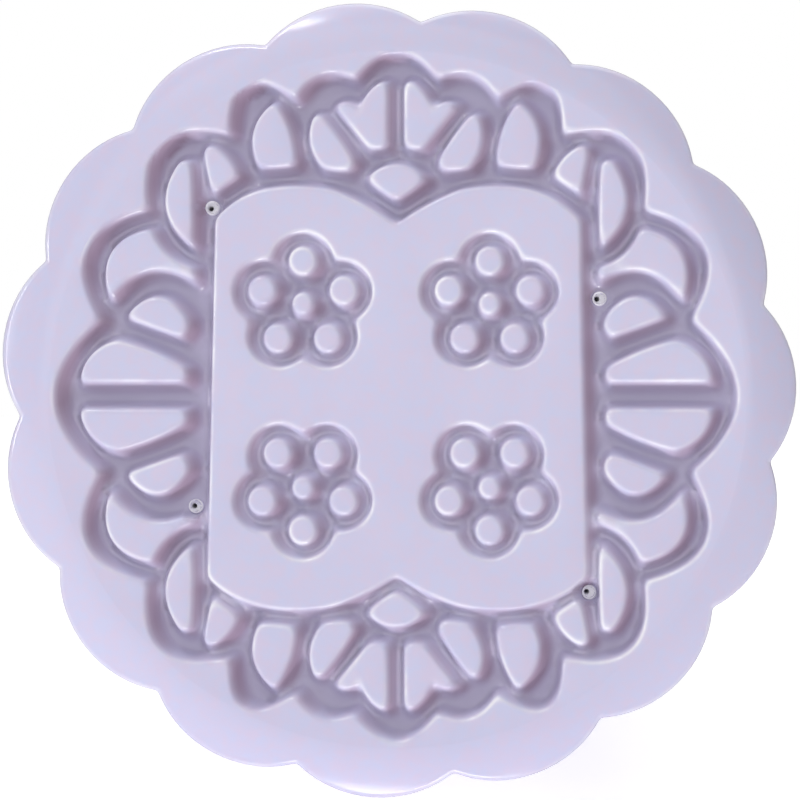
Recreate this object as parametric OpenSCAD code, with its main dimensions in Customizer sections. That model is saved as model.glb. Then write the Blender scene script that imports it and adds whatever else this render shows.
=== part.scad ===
// Hand press for mooncakes, lying on its side with the stamp plate pushed out clear of the barrel,
// which is where plates are changed. The press axis runs along Y: the stamped face looks towards -Y,
// the palm handle is at +Y. X is to the right of somebody facing the stamp, Z is up, and the barrel
// and the handle both lie on Z = 0. Stations along the axis are Y values. Millimetres.

/* [Stamp plate] */
// Number of scallops round the plate, the bore and the barrel
lobes = 15; // [12:1:18]
// Radius of the plate over the tips of its scallops
plate_r = 31.2; // [30.8:0.1:33]
// Radius of each scallop
lobe_r = 8.6; // [8.2:0.1:9.2]
// Turn of the scallops against the upright pattern, in degrees
lobe_turn = 2.5; // [0:0.5:4]
// Thickness of the plate
plate_t = 8; // [7:0.5:12]
// Radius at which the flat face ends and the rim starts to fall away
crease_r = 26.9; // [26.9:0.1:28]
// Fall of the rim at the tips of the scallops
rim_drop = 2; // [0.5:0.1:3]
// Depth of the engraved grooves
groove_d = 1.6; // [0.8:0.1:2]
// Diameter of the four air vents
vent_d = 0.8; // [0.6:0.1:1.2]
// Radius of a blossom's ring of petals
petal_ring_r = 3.1; // [2.9:0.1:3.3]
// Radius of one sunk petal
petal_r = 2.5; // [2.3:0.1:2.6]
// Radius of the raised dot in each petal
petal_dot_r = 1.25; // [1:0.05:1.4]

/* [Barrel] */
// Gap between the plate and the bore
side_gap = 0.3; // [0.2:0.05:0.5]
// Wall of the barrel
barrel_wall = 2; // [1.6:0.1:3]
// Wall at the mouth, where the barrel is thinned to an edge
lip_wall = 1.2; // [1:0.1:1.6]
// Length over which the lip is thinned
lip_len = 6; // [4:1:10]
// Length of the barrel
barrel_len = 57; // [55:1:70]
// Thickness of the barrel's inner flange
flange_t = 3; // [2:0.5:5]
// Radius of the opening in the flange
flange_hole_r = 20; // [18:0.5:21]
// How far the stamp stands out of the mouth when plates are changed
plate_out = 9.5; // [9:0.5:12]
// Stroke of the plunger
stroke = 38; // [30:1:38]

/* [Barrel cap and guide] */
// Radius of the screwed-on cap
cap_r = 28.5; // [28:0.5:29]
// Thickness of the cap
cap_t = 3.5; // [3:0.5:5]
// Outer radius of the guide neck inside the barrel
neck_r = 14.5; // [14:0.5:16]
// Height of the collar that centres the spring
collar_h = 2; // [1.5:0.5:3]
// Pitch radius of the cap screws
cap_screw_ring_r = 24.3; // [24:0.1:24.5]
// Wall of the guide bush
bush_wall = 1.2; // [1:0.1:1.2]
// Running clearance between the rod and its guide, on the radius
guide_gap = 0.08; // [0.05:0.01:0.1]

/* [Plunger] */
// Radius of the plunger rod
rod_r = 10; // [9:0.5:10]
// Wall of the hollow rod
rod_wall = 4.2; // [3:0.1:5]
// Radius of the foot that carries the plate
foot_r = 19; // [18:0.5:19.5]
// Thickness of the foot
foot_t = 4; // [3:0.5:6]
// Radius of the boss that the plate is pushed onto
boss_r = 15; // [14:0.5:16]
// Length of that boss
boss_h = 4; // [3.5:0.5:5]
// Section of the rubber ring that grips the plate
ring_d = 1.9; // [1.6:0.1:2.2]
// Thickness of the rubber buffer behind the foot
buffer_t = 3.2; // [2:0.1:4]

/* [Return spring] */
// Wire diameter of the spring
wire_d = 1.8; // [1.4:0.1:2]
// Mean radius of the spring
spring_r = 15; // [15:0.1:15.8]
// Number of curls
curls = 7; // [4:1:7]
// Length of the spring when the plunger is pushed in as far as it goes
spring_len = 22; // [22:0.5:26]
// Thickness of the two spring washers
washer_t = 0.8; // [0.6:0.1:1.2]

/* [Handle] */
// Number of finger lobes
handle_lobes = 12; // [12:4:16]
// Radius of each finger lobe
handle_lobe_r = 10; // [9.5:0.5:10.5]
// Length of the handle
handle_len = 23; // [22:0.5:28]
// Radius of the palm cap let into the handle
palm_r = 24; // [22:0.5:25]
// Height of the palm cap's crown
palm_h = 3; // [2:0.5:5]

/* [Hidden] */
$fn = 48;
over = 0.5; // how far a cutter runs past what it cuts
seat = 0.1; // gap between faces that a joint parts
fit = 0.05; // gap between pieces that are screwed or pushed together
stop_gap = 0.3; // what is left between a rubber stop and what it meets at the end of the stroke

// Scallops: circles of lobe_r on a ring
lobe_ring_r = plate_r - lobe_r;
lobe_step = 360 / lobes;
bore_lobe_r = lobe_r + side_gap;
skin_lobe_r = bore_lobe_r + barrel_wall;
lip_lobe_r = bore_lobe_r + lip_wall;

// The axis height puts the lowest scallop of the barrel on the ground
low_lobe = [for (k = [0 : lobes - 1]) abs(lobe_turn + k * lobe_step - 270)];
axis_z = lobe_ring_r * cos(min(low_lobe)) + skin_lobe_r;
// The handle stands on two of its lobes, one each side of the lowest point
handle_step = 360 / handle_lobes;
handle_ring_r = (axis_z - handle_lobe_r) / cos(handle_step / 2);

// Lengths measured from the mouth of the barrel
shoulder_len = 3;
cap_out = barrel_len + cap_t;
spring_from = cap_out + washer_t;
handle_from = spring_from + spring_len + washer_t;
whole_len = plate_out + handle_from + handle_len + palm_h;

// Stations along Y, with the whole length centred on Y = 0
face_y = -whole_len / 2;
mouth_y = face_y + plate_out;
back_y = face_y + plate_t;
foot_y = back_y + seat;
foot_back_y = foot_y + foot_t;
neck_y = foot_back_y + buffer_t + stroke + stop_gap;
cap_y = mouth_y + barrel_len;
cap_top_y = mouth_y + cap_out;
collar_y = cap_top_y + collar_h;
spring_y = mouth_y + spring_from;
handle_y = mouth_y + handle_from;
handle_top_y = handle_y + handle_len;

// Spring and what it sits round: a curl is drawn with straight chords, so it is narrowest between rings
rings_per_curl = 8;
coil_inner_r = spring_r * cos(180 / rings_per_curl) - wire_d / 2;
collar_r = coil_inner_r - 0.25;
washer_hole_r = collar_r + 0.1;
washer_r = spring_r + wire_d;

// Cap and guide
cap_edge = 1;
neck_bore_r = rod_r + 0.6;
bush_r = rod_r + guide_gap + bush_wall;
bush_flange_r = bush_r + 0.6;
bush_flange_t = 1;
clip_d = 1.2;
clip_groove_w = clip_d + 0.6;
clip_groove_r = rod_r + 2.2;
clip_y = neck_y + 2;
bush_y = clip_y + clip_groove_w / 2 + 1;
key_w = 2.6;
key_side_gap = 0.2;
key_top_gap = 0.3;
key_root = 0.3;
key_slot_w = key_w + 2 * key_side_gap;
key_slot_d = 1.2;
key_slot_end = 1;
detent_d = 0.5;
detent_section_r = clip_d / 2 + 0.2;

// Plunger
rod_y = foot_back_y;
rod_in_handle = 9;
rod_end_y = handle_y + rod_in_handle;
rod_plug = 10;
insert_r = 3.4;
insert_len = 8;
thread_end = 1; // how far a screw stops short of the end of its insert
screw_play = 0.2;
screw_r = 2;
screw_head_r = 4;
screw_head_h = 2.2;
screw_recess_d = 1.2;
screw_recess_r = 2.4;
recess_w = 0.9;
bolt_r = 2.5;
bolt_head_r = 4.5;
bolt_head_h = 3.5;
bolt_hex_r = 2.3;
bolt_hex_d = 2;
boss_y = foot_y - boss_h;
socket_r = boss_r + side_gap;
socket_d = boss_h + seat + 0.4;
ring_gap = 0.04;
ring_mid_r = socket_r - ring_gap - ring_d / 2;
ring_y = boss_y + boss_h / 2;
boss_lead = 0.6;
foot_cone_h = 0.8;
buffer_r = rod_r + 3.5;
sleeve_r = rod_r + 2.2;
bumper_r = rod_r + 2.4;
bumper_y = collar_y + seat;
bumper_t = 1.1;
sleeve_y = bumper_y + bumper_t;

// Handle
hub_r = 15;
pocket_r = 22;
pocket_floor = 7;
palm_seat = 3;
palm_lip = 1.5;
handle_under = 3;
handle_edge = 4;
skirt_r = hub_r + 3;
skirt_flare = 2;
bolt_web = 3;
bolt_seat_y = rod_end_y + bolt_web;
bolt_washer_t = 1;
bolt_washer_r = bolt_head_r + 1;
bolt_pocket_r = bolt_washer_r + 0.5;
cap_screw_r = 1.5;
cap_screw_head_r = 2.9;
cap_screw_head_h = 1.9;
cap_screw_head_taper = 0.5;
cap_screw_recess_d = 1;
cap_screw_recess_r = 1.7;
cap_screw_end = 0.2;
cap_screws_n = 4;
cap_screw_turn = 45;

// Engraved pattern, as [x, y, bulge]: a corner, and how far the edge that leaves it bows outwards.
// Corners run clockwise; the quarter shown is the upper left one.
pattern_shift = [0.1, 0.2];
fan_pad = [[-24.4, 1.0, 0.7], [-21.5, 4.2, 0.2], [-16.2, 2.0, 0.1], [-16.2, 1.0, 0]];
dome_pad = [[-20.8, 6.0, 1.6], [-16.0, 5.8, 0.2], [-16.5, 4.4, 0]];
crescent_pad = [[-22.1, 7.5, 1.7], [-18.9, 12.8, -0.6], [-15.6, 9.8, 0], [-15.6, 9.0, -1.5]];
half_moon_pad = [[-16.7, 18.0, 0.1], [-15.9, 18.0, 0.1], [-15.8, 11.6, 1.5]];
wedge_pad = [[-14.8, 18.8, 0.2], [-14.2, 19.2, 0.3], [-12.2, 16.6, 0], [-14.3, 15.2, 0]];
petal_pad = [[-9.3, 22.6, 0.4], [-7.8, 17.4, 0.1], [-10.5, 17.2, 1.2]];
leaf_pad = [[-6.2, 21.5, 0.1], [-5.6, 21.4, 0.1], [-3.0, 17.7, 0.1], [-3.3, 17.2, 0.1],
    [-5.7, 17.4, 0.7]];
crown_pad = [[-4.8, 22.3, 0.6], [-2.8, 21.6, 0.4], [-0.9, 24.2, 0.1], [-0.5, 24.0, 0],
    [-0.5, 18.8, 0.1], [-1.9, 18.7, 0]];
corner_pads = [fan_pad, dome_pad, crescent_pad, half_moon_pad, wedge_pad, petal_pad, leaf_pad,
    crown_pad];
kite_pad = [[-2.2, 16.8, 1.0], [2.2, 16.8, 0.1], [0, 14.9, 0.1]];
panel = [[-14.8, -14.0, 0], [-14.2, 13.5, 0.3], [-10.5, 15.8, 0.3], [-4.9, 15.8, 0.2],
    [0, 13.1, 0.2], [4.9, 15.8, 0.3], [10.5, 15.8, 0.3], [14.2, 13.5, 0],
    [14.7, -14.0, 0.3], [10.5, -16.2, 0.3], [4.9, -16.2, 0.2], [0, -13.8, 0.2],
    [-4.9, -16.2, 0.3], [-10.5, -16.2, 0.3]];
// The outer edge of the engraving: corners from the left to the top, and the bulge between them
frame_corners = [[-22.7, 5.8], [-19.0, 14.3], [-12.8, 20.0], [-7.7, 22.8], [-3.2, 24.2]];
frame_bulges = [3.1, 3.1, 2.8, 1.1];
frame_top_bulge = 2.1;
frame_side_bulge = 3.5;
vents = [[-14.5, 14.3], [15.4, 7.4], [-15.7, -8.6], [14.7, -15.2]];
blossom_at = [7.2, 7.1];
petals = 5;
blossom_dot_r = 0.95;
frame_rise = [for (i = [0 : 3]) [frame_corners[i].x, frame_corners[i].y, frame_bulges[i]]];
frame_fall = [for (i = [4 : -1 : 1]) [-frame_corners[i].x, frame_corners[i].y, frame_bulges[i - 1]]];
frame_upper = concat(frame_rise,
    [[frame_corners[4].x, frame_corners[4].y, frame_top_bulge]],
    frame_fall,
    [[-frame_corners[0].x, frame_corners[0].y, frame_side_bulge]]);
frame_edge = concat(frame_upper, [for (c = frame_upper) [-c.x, -c.y, c.z]]);

// An edge from p to q that bows out to the left of its travel by b, as a parabola of n steps
function bowed(p, q, b, n) =
    let (side = [p.y - q.y, q.x - p.x] / norm(q - p))
    [for (i = [0 : n - 1]) let (t = i / n) p + (q - p) * t + side * 4 * b * t * (1 - t)];
function bow_steps(b) = b == 0 ? 1 : 1 + ceil(3 * sqrt(abs(b)));
function outline(corners) =
    [for (i = [0 : len(corners) - 1])
        let (c = corners[i], d = corners[(i + 1) % len(corners)])
        each bowed([c.x, c.y], [d.x, d.y], c.z, bow_steps(c.z))];

// Points along the rim's fall, from the crease outwards: a crease first, then a growing slope
rim_steps = 5;
rim_out_r = plate_r + over;
function rim_fall(t) = rim_drop * (0.35 * t + 0.65 * t * t);
rim_points = [for (i = [0 : rim_steps])
    let (t = i / rim_steps) [crease_r + (rim_out_r - crease_r) * t, face_y + rim_fall(t)]];

// Spring: a helix whose ends run straight along the axis for one wire diameter
wire_sides = 6;
helix_rings = curls * rings_per_curl;
spring_pitch = (spring_len - 2 * wire_d) / curls;
helix_path = [for (i = [0 : helix_rings])
    let (turn = 360 * i / rings_per_curl)
    [turn, spring_y + wire_d + spring_pitch * i / rings_per_curl]];
spring_path = concat([[0, spring_y]], helix_path,
    [[360 * curls, spring_y + spring_len]]);
function on_coil(p) = [spring_r * cos(p[0]), p[1], spring_r * sin(p[0])];
function coil_radial(i) = [cos(spring_path[i][0]), 0, sin(spring_path[i][0])];
function coil_tangent(i) =
    let (last = len(spring_path) - 1,
        d = on_coil(spring_path[min(i + 1, last)]) - on_coil(spring_path[max(i - 1, 0)]),
        flat = d - coil_radial(i) * (d * coil_radial(i)))
    flat / norm(flat);
spring_points = [for (i = [0 : len(spring_path) - 1])
    let (n = coil_radial(i), t = i == 0 || i == len(spring_path) - 1 ? [0, 1, 0] : coil_tangent(i),
        b = cross(t, n))
    for (k = [0 : wire_sides - 1])
        on_coil(spring_path[i])
            + wire_d / 2 * (cos(360 * k / wire_sides) * n + sin(360 * k / wire_sides) * b)];
spring_rings = len(spring_path);
spring_skin = [for (i = [0 : spring_rings - 2], k = [0 : wire_sides - 1])
    let (a = i * wire_sides + k, b = i * wire_sides + (k + 1) % wire_sides)
    each [[a, b, a + wire_sides], [b, b + wire_sides, a + wire_sides]]];
spring_ends = [for (k = [1 : wire_sides - 2])
    each [[0, k + 1, k],
        [(spring_rings - 1) * wire_sides, (spring_rings - 1) * wire_sides + k,
            (spring_rings - 1) * wire_sides + k + 1]]];
spring_least_gap = min([for (i = [0 : helix_rings], j = [0 : helix_rings])
    if (j - i > rings_per_curl / 2) norm(on_coil(helix_path[i]) - on_coil(helix_path[j]))]) - wire_d;
echo(str("least gap between curls: ", spring_least_gap));

// A straight length along the axis, from y0 to y1, of an outline seen from the stamp side
module prism(y0, y1) {
    translate([0, y1, axis_z]) rotate([90, 0, 0]) linear_extrude(y1 - y0) children();
}

// A solid turned about the axis from a profile drawn in [radius, y]
module turned() {
    translate([0, 0, axis_z]) rotate([90, 0, 0]) rotate_extrude() mirror([0, 1]) children();
}

// A turned ring between two radii and two stations
module ring(r0, r1, y0, y1) {
    turned() translate([r0, y0]) square([r1 - r0, y1 - y0]);
}

// A plain or tapered rod along the axis, at an offset from it
module rod(r0, r1, y0, y1, at = [0, 0]) {
    translate([at.x, y0, axis_z + at.y]) rotate([-90, 0, 0]) cylinder(r1 = r0, r2 = r1, h = y1 - y0);
}

// A ring of lobes, tapering from radius ra at y0 to rb at y1, filled to the centre
module lobed(count, turn, ring_radius, ra, rb, y0, y1) {
    fill_a = ring_radius + ra * 0.4;
    fill_b = ring_radius + rb * 0.4;
    union() {
        rod(fill_a, fill_b, y0, y1);
        for (k = [0 : count - 1]) {
            a = turn + k * 360 / count;
            rod(ra, rb, y0, y1, ring_radius * [cos(a), sin(a)]);
        }
    }
}

module scallops(ra, rb, y0, y1) {
    lobed(lobes, lobe_turn, lobe_ring_r, ra, rb, y0, y1);
}

module handle_lobed(ra, rb, y0, y1) {
    lobed(handle_lobes, 270 + handle_step / 2, handle_ring_r, ra, rb, y0, y1);
}

module four_ways(corners) {
    points = outline(corners);
    for (sx = [1, -1], sy = [1, -1]) {
        polygon([for (p = points) [sx * p.x, sy * p.y]]);
    }
}

// One five-petalled blossom: sunk petals, with a raised dot in each and one in the middle
module blossom(turn) {
    difference() {
        union() {
            circle(petal_ring_r);
            for (k = [0 : petals - 1]) {
                rotate(turn + k * 360 / petals) translate([petal_ring_r, 0]) circle(petal_r);
            }
        }
        circle(blossom_dot_r);
        for (k = [0 : petals - 1]) {
            rotate(turn + k * 360 / petals) translate([petal_ring_r + 0.2, 0]) circle(petal_dot_r);
        }
    }
}

// Everything that is sunk into the face
module engraving() {
    translate(pattern_shift) {
        difference() {
            polygon(outline(frame_edge));
            polygon(outline(panel));
            for (pad = corner_pads) four_ways(pad);
            polygon(outline(kite_pad));
            mirror([0, 1]) polygon(outline(kite_pad));
        }
        for (sx = [1, -1], sy = [1, -1]) {
            translate([sx * blossom_at.x, sy * blossom_at.y]) blossom(sy * 90);
        }
    }
}

module stamp_plate() {
    color("lavender") difference() {
        intersection() {
            scallops(lobe_r, lobe_r, face_y, back_y);
            turned() polygon(concat([[0, face_y]], rim_points, [[rim_out_r, back_y], [0, back_y]]));
        }
        prism(face_y - over, face_y + groove_d) engraving();
        ring(0, socket_r, back_y - socket_d, back_y + over);
        for (v = vents) rod(vent_d / 2, vent_d / 2, face_y - over, back_y + over, v);
    }
}

module plate_grip_ring() {
    color("dimgray") turned() translate([ring_mid_r, ring_y]) circle(ring_d / 2);
}

module plunger_foot() {
    color("lavender") difference() {
        turned() polygon([[0, boss_y], [boss_r - boss_lead, boss_y], [boss_r, boss_y + boss_lead],
            [boss_r, foot_y], [foot_r, foot_y], [foot_r, foot_back_y - foot_cone_h],
            [foot_r - foot_cone_h, foot_back_y], [0, foot_back_y]]);
        ring(ring_mid_r - ring_d / 2, boss_r + over, ring_y - ring_d / 2, ring_y + ring_d / 2);
        rod(screw_r + fit, screw_r + fit, boss_y - over, foot_back_y + over);
        rod(screw_head_r + fit, screw_r + fit, boss_y, boss_y + screw_head_h);
        rod(screw_head_r + fit, screw_head_r + fit, boss_y - over, boss_y);
    }
}

module foot_screw() {
    color("silver") difference() {
        union() {
            rod(screw_head_r, screw_r, boss_y, boss_y + screw_head_h);
            rod(screw_r, screw_r, boss_y + screw_head_h, rod_y + insert_len - thread_end);
        }
        cross_recess(boss_y, screw_recess_d, screw_recess_r);
    }
}

// The crossed slots of a screw head, sunk by depth from the outer face at y
module cross_recess(y, depth, half_len) {
    for (a = [0, 90]) {
        translate([0, y + depth / 2, axis_z]) rotate([0, a, 0])
            cube([2 * half_len, depth + 0.01, recess_w], center = true);
    }
}

module plunger_rod() {
    slot_from = foot_back_y + buffer_t + key_slot_end;
    color("lavender") difference() {
        ring(0, rod_r, rod_y, rod_end_y);
        ring(0, rod_r - rod_wall, rod_y + rod_plug, rod_end_y - rod_plug);
        rod(insert_r + fit, insert_r + fit, rod_y - over, rod_y + insert_len);
        rod(insert_r + fit, insert_r + fit, rod_end_y - insert_len, rod_end_y + over);
        translate([-key_slot_w / 2, slot_from, axis_z + rod_r - key_slot_d])
            cube([key_slot_w, handle_y - key_slot_end - slot_from, key_slot_d + over]);
        turned() translate([rod_r - detent_d + detent_section_r, clip_y]) circle(detent_section_r);
    }
}

module rod_inserts() {
    color("darkgoldenrod") {
        ring(screw_r + fit, insert_r, rod_y, rod_y + insert_len);
        ring(bolt_r + fit, insert_r, rod_end_y - insert_len, rod_end_y);
    }
}

module foot_buffer() {
    color("dimgray") ring(rod_r + fit, buffer_r, foot_back_y, foot_back_y + buffer_t);
}

module barrel() {
    flange_y = cap_y - flange_t;
    color("lavender") difference() {
        union() {
            scallops(lip_lobe_r, skin_lobe_r, mouth_y, mouth_y + lip_len);
            scallops(skin_lobe_r, skin_lobe_r, mouth_y + lip_len, cap_y - shoulder_len);
            scallops(skin_lobe_r, skin_lobe_r - shoulder_len, cap_y - shoulder_len, cap_y);
        }
        scallops(bore_lobe_r, bore_lobe_r, mouth_y - over, flange_y);
        rod(flange_hole_r, flange_hole_r, flange_y - over, cap_y + over);
        for (k = [0 : cap_screws_n - 1]) {
            rod(cap_screw_r + fit, cap_screw_r + fit, flange_y - over, cap_y + over, cap_screw_at(k));
        }
    }
}

function cap_screw_at(k) =
    let (a = cap_screw_turn + k * 360 / cap_screws_n) cap_screw_ring_r * [cos(a), sin(a)];

module barrel_cap() {
    spigot_r = flange_hole_r - fit;
    color("lavender") difference() {
        turned() polygon([[neck_bore_r, neck_y], [neck_r, neck_y], [neck_r, cap_y - flange_t],
            [spigot_r, cap_y - flange_t], [spigot_r, cap_y], [cap_r, cap_y],
            [cap_r, cap_top_y - cap_edge], [cap_r - cap_edge, cap_top_y], [collar_r, cap_top_y],
            [collar_r, collar_y], [neck_bore_r, collar_y]]);
        ring(rod_r, clip_groove_r, clip_y - clip_groove_w / 2, clip_y + clip_groove_w / 2);
        ring(rod_r, bush_r + fit, bush_y, collar_y + over);
        ring(rod_r, bush_flange_r + fit, collar_y - bush_flange_t, collar_y + over);
        for (k = [0 : cap_screws_n - 1]) {
            rod(cap_screw_r + screw_play, cap_screw_r + screw_play, cap_y - over, cap_top_y + over,
                cap_screw_at(k));
        }
    }
}

module cap_screws() {
    color("silver") for (k = [0 : cap_screws_n - 1]) {
        at = cap_screw_at(k);
        difference() {
            union() {
                rod(cap_screw_r, cap_screw_r, cap_y - flange_t + cap_screw_end, cap_top_y, at);
                rod(cap_screw_head_r, cap_screw_head_r - cap_screw_head_taper, cap_top_y,
                    cap_top_y + cap_screw_head_h, at);
            }
            translate([at.x, 0, at.y])
                cross_recess(cap_top_y + cap_screw_head_h - cap_screw_recess_d, cap_screw_recess_d,
                    cap_screw_recess_r);
        }
    }
}

module guide_bush() {
    color("ghostwhite") union() {
        difference() {
            union() {
                ring(0, bush_r, bush_y, collar_y);
                ring(0, bush_flange_r, collar_y - bush_flange_t, collar_y);
            }
            rod(rod_r + guide_gap, rod_r + guide_gap, bush_y - over, collar_y + over);
        }
        key_h = key_slot_d - key_top_gap;
        translate([-key_w / 2, bush_y, axis_z + rod_r - key_h])
            cube([key_w, collar_y - bush_y, key_h + guide_gap + key_root]);
    }
}

module detent_clip() {
    clip_mid_r = rod_r + fit + clip_d / 2;
    color("silver") translate([0, clip_y, axis_z]) rotate([90, 0, 0]) rotate([0, 0, 300])
        rotate_extrude(angle = 300) translate([clip_mid_r, 0]) circle(clip_d / 2);
}

module lower_spring_washer() {
    color("silver") ring(washer_hole_r, washer_r, cap_top_y, spring_y);
}

module return_spring() {
    color("silver") translate([0, 0, axis_z])
        polyhedron(points = spring_points, faces = concat(spring_skin, spring_ends));
}

module upper_spring_washer() {
    color("silver") ring(washer_hole_r, washer_r, handle_y - washer_t, handle_y);
}

module stop_sleeve() {
    color("ghostwhite") ring(rod_r + fit, sleeve_r, sleeve_y, handle_y);
}

module bumper_ring() {
    color("dimgray") ring(rod_r + fit, bumper_r, bumper_y, sleeve_y);
}

module handle_body() {
    lobes_y = handle_y + handle_under;
    small_r = handle_lobe_r - handle_edge;
    color("lavender") difference() {
        union() {
            rod(skirt_r, skirt_r + skirt_flare, handle_y, lobes_y + over);
            handle_lobed(small_r, handle_lobe_r, lobes_y, lobes_y + handle_edge);
            handle_lobed(handle_lobe_r, handle_lobe_r, lobes_y + handle_edge, handle_top_y - handle_edge);
            handle_lobed(handle_lobe_r, small_r, handle_top_y - handle_edge, handle_top_y);
        }
        rod(rod_r + fit, rod_r + fit, handle_y - over, rod_end_y);
        rod(bolt_r + screw_play, bolt_r + screw_play, rod_end_y - over, handle_top_y + over);
        rod(bolt_pocket_r, bolt_pocket_r, bolt_seat_y, handle_top_y + over);
        ring(hub_r, pocket_r, handle_y + pocket_floor, handle_top_y + over);
        rod(palm_r + fit, palm_r + fit, handle_top_y - palm_seat, handle_top_y + over);
    }
}

module handle_washer() {
    color("silver") ring(bolt_r + fit, bolt_washer_r, bolt_seat_y, bolt_seat_y + bolt_washer_t);
}

module handle_bolt() {
    head_y = bolt_seat_y + bolt_washer_t;
    color("silver") difference() {
        union() {
            rod(bolt_r, bolt_r, rod_end_y - insert_len + thread_end, head_y);
            rod(bolt_head_r, bolt_head_r, head_y, head_y + bolt_head_h);
        }
        translate([0, head_y + bolt_head_h - bolt_hex_d, axis_z]) rotate([-90, 0, 0])
            cylinder(r = bolt_hex_r, h = bolt_hex_d + over, $fn = 6);
    }
}

module palm_cap() {
    color("lavender") union() {
        rod(palm_r, palm_r, handle_top_y - palm_seat, handle_top_y);
        rod(palm_r, palm_r - palm_lip, handle_top_y, handle_top_y + palm_lip);
        rod(palm_r - palm_lip, palm_r - 2 * palm_h, handle_top_y + palm_lip, handle_top_y + palm_h);
    }
}

stamp_plate();
plate_grip_ring();
plunger_foot();
foot_screw();
plunger_rod();
rod_inserts();
foot_buffer();
barrel();
barrel_cap();
cap_screws();
guide_bush();
detent_clip();
lower_spring_washer();
return_spring();
upper_spring_washer();
stop_sleeve();
bumper_ring();
handle_body();
handle_washer();
handle_bolt();
palm_cap();
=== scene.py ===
import math
from collections import namedtuple

import bmesh
import bpy
import numpy as np
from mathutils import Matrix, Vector
from mathutils.geometry import delaunay_2d_cdt


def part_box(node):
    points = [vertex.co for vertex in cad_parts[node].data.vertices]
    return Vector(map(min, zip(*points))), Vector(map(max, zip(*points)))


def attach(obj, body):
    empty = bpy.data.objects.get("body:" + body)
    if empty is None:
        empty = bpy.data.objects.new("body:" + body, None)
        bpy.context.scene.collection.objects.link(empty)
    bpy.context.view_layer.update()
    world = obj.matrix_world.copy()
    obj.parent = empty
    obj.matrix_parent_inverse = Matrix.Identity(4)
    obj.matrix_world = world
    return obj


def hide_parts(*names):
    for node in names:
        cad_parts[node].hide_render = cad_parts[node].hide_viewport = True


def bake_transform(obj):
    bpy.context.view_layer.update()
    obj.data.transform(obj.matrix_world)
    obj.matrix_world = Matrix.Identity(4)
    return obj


MM = 0.001
SHARP_ANGLE = 40
DOUBLES = 0.002 * MM
PLATE_DOUBLES = 0.003 * MM

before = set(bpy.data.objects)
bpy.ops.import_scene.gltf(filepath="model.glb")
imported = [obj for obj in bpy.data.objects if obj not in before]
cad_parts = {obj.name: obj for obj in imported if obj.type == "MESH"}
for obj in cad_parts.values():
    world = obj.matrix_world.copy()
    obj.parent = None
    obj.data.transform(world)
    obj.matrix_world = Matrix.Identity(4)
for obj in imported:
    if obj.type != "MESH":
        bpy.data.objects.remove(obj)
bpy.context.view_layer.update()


def span(node):
    """Lowest and highest corner of a CAD node, in millimetres."""
    low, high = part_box(node)
    return np.array(low) / MM, np.array(high) / MM


def radius_of(node):
    """Outer radius of a CAD node that is round about the press axis."""
    low, high = span(node)
    return (high[0] - low[0]) / 2


def stations(node):
    """The Y values between which a CAD node lies."""
    low, high = span(node)
    return low[1], high[1]


# Places that the CAD model gives
foot_low, foot_high = span("plunger_foot")
AXIS_Z = (foot_low[2] + foot_high[2]) / 2
FACE_Y, BACK_Y = stations("stamp_plate")
MOUTH_Y, CAP_Y = stations("barrel")
CAP_TOP_Y = stations("lower_spring_washer")[0]
SPRING_FROM, SPRING_TO = stations("return_spring")
HANDLE_Y, HANDLE_TOP_Y = stations("handle_body")

# Scallops of the plate and the barrel: circles on a ring
SCALLOPS = 15
SCALLOP_TURN = math.radians(2.5)
SCALLOP_R = 8.6
PLATE_R = 31.2
SCALLOP_RING_R = PLATE_R - SCALLOP_R
BORE_R = PLATE_R + 0.3
LIP_R = BORE_R + 1.2
SKIN_R = BORE_R + 2
LIP_LEN = 6
STEPS_PER_SCALLOP = 24

# Stamped face
CREASE_R = 26.9
RIM_DROP = 2
RIM_SPAN = PLATE_R + 0.5 - CREASE_R
RIM_EVEN = 0.2
RIM_POWER = 1.8
GROOVE_D = 1.6
VENT_R = 0.42
VENT_NARROW_R = 0.2
VENT_ASIDE = 0.18
VENT_MOUTH_R = 0.6
VENT_FLAT_R = 1.1
VENT_DEPTH = 0.9 * GROOVE_D
VENT_FUNNEL_D = 0.3
VENT_BEAD_H = 0.2
# How strongly the vents are painted white, as a highlight.
VENT_PAINTED_WHITE = 12
PATTERN_SHIFT = (-0.15, 0.3)
LEAN = (0.3, -0.08)
SOCKET_R = 15.3
SOCKET_D = 4.5
SOCKET_SOFT = 0.4

# Handle: finger lobes on a ring
FINGERS = 12
FINGER_R = 10
FINGER_TURN = math.radians(270 + 180 / FINGERS)
FINGER_RING_R = (AXIS_Z - FINGER_R) / math.cos(math.pi / FINGERS)
HANDLE_TIP_R = FINGER_RING_R + FINGER_R
PALM_R = radius_of("palm_cap")

# Foot, guide and handle, as the CAD model has them
FOOT_Y, FOOT_BACK_Y = foot_low[1], foot_high[1]
FOOT_R = radius_of("plunger_foot")
BOSS_R = 15
BOSS_H = 4
ROD_R = radius_of("plunger_rod")
CAP_R = radius_of("barrel_cap")
COLLAR_R = 12.7
NECK_Y, COLLAR_Y = stations("barrel_cap")


# Shapes


def lobed(angles, tip_r, ring_r, count, turn, soften):
    """Radii of a ring of circles whose tips reach tip_r: at the angle a from the middle of a circle,
    ring_r cos a + sqrt((tip_r - ring_r)^2 - (ring_r sin a)^2), averaged over soften radians each way."""
    step = 2 * math.pi / count
    total = 0
    for side, weight in ((-1, 0.25), (0, 0.5), (1, 0.25)):
        a = (angles + side * soften - turn + step / 2) % step - step / 2
        depth = (tip_r - ring_r) ** 2 - (ring_r * np.sin(a)) ** 2
        total = total + weight * (ring_r * np.cos(a) + np.sqrt(np.maximum(depth, 0)))
    return total


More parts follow.
